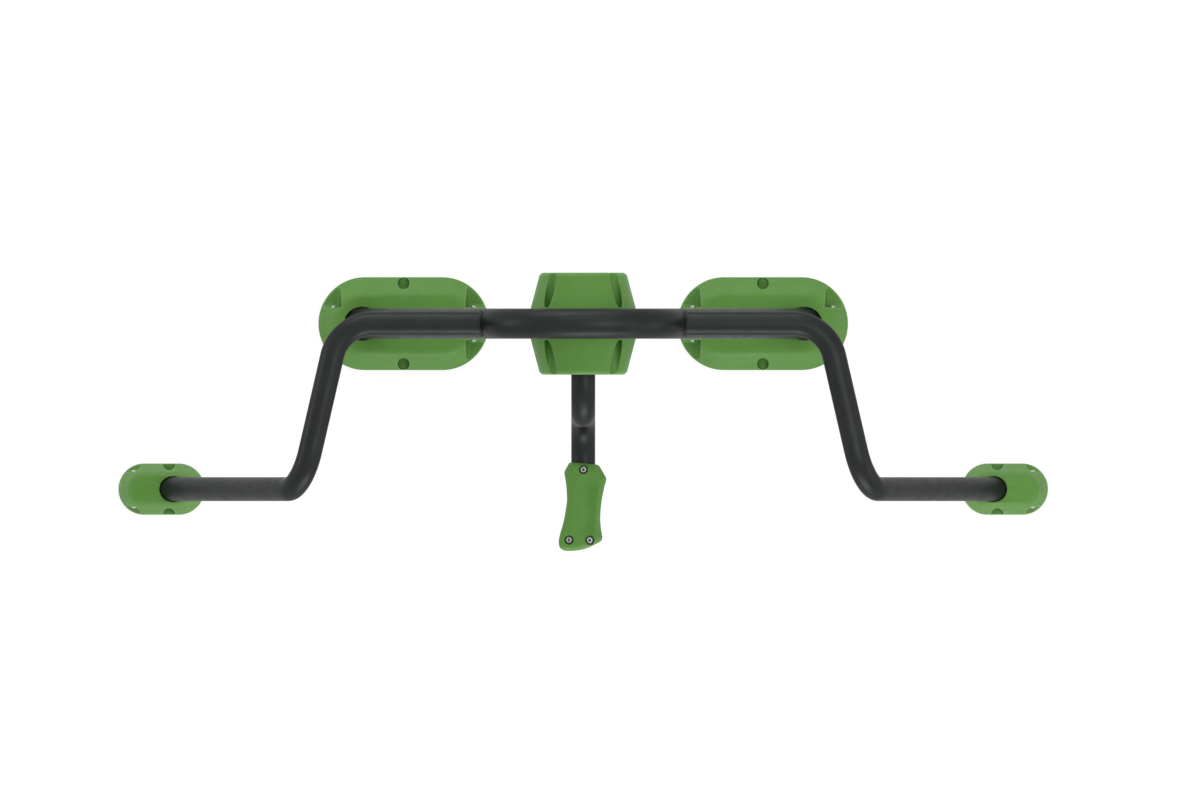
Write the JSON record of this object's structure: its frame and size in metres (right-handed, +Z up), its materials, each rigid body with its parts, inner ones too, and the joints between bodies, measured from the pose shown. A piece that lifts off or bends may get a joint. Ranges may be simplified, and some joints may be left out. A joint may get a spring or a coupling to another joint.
{
  "type": "outdoor glute trainer",
  "caption": "Outdoor fitness machine: a bent tube arch with handrails on leaning legs, and a padded lever that a standing user's leg swings back to either side.",
  "frame": {"origin": "on the ground, at the middle of the object's length and depth", "axes": "+X across the machine, -Y towards the users' side where the pad is, +Z up"},
  "size_m": [2.331, 0.6984, 1.1973],
  "materials": {
    "powder_coat": "satin anthracite powder coat",
    "green_plastic": "moulded green plastic, satin with a fine grain",
    "stainless_steel": "bright stainless fasteners",
    "zinc_steel": "hot-dip galvanised steel",
    "bearing_steel": "ground bearing steel",
    "black_rubber": "matte rubber",
    "black_plastic": "matte moulded plastic"
  },
  "bodies": {
    "frame": {"arch_tube": "powder_coat", "handrail_left": "powder_coat", "handrail_right": "powder_coat", "cross_tube_left": "powder_coat", "cross_tube_right": "powder_coat", "bearing_housing": "zinc_steel", "drum_mount_plates": "zinc_steel", "stop_bracket": "zinc_steel", "stop_buffers": "black_rubber", "bearing_outer_rings": "bearing_steel", "bearing_balls": "bearing_steel", "bearing_circlips": "zinc_steel", "drum_front_shell": "green_plastic", "drum_rear_shell": "green_plastic", "drum_screws": "stainless_steel", "drum_sleeve_nuts": "stainless_steel", "arch_plate_left": "zinc_steel", "arch_plate_right": "zinc_steel", "rail_plate_left": "zinc_steel", "rail_plate_right": "zinc_steel", "arch_cover_left_front": "green_plastic", "arch_cover_left_rear": "green_plastic", "arch_cover_right_front": "green_plastic", "arch_cover_right_rear": "green_plastic", "rail_cover_left_front": "green_plastic", "rail_cover_left_rear": "green_plastic", "rail_cover_right_front": "green_plastic", "rail_cover_right_rear": "green_plastic", "arch_cover_bolts": "stainless_steel", "arch_cover_sleeve_nuts": "stainless_steel", "rail_cover_bolts": "stainless_steel", "rail_cover_sleeve_nuts": "stainless_steel"},
    "lever": {"pivot_shaft": "bearing_steel", "shaft_key": "bearing_steel", "bearing_inner_rings": "bearing_steel", "bearing_spacer": "zinc_steel", "hub_spacer": "zinc_steel", "shaft_washer": "zinc_steel", "shaft_nut": "zinc_steel", "lever_hub": "powder_coat", "lever_tube": "powder_coat", "lever_end_plug": "black_plastic", "pad_upper_shell": "green_plastic", "pad_lower_shell": "green_plastic", "pad_screws": "stainless_steel", "pad_sleeve_nuts": "stainless_steel"}
  },
  "joints": [
    {"name": "lever_swing", "type": "hinge", "parent": "frame", "child": "lever", "pos_m": [0, 0.2212, 0.931], "axis": [0, 1, 0], "range_deg": [-50, 50]}
  ]
}
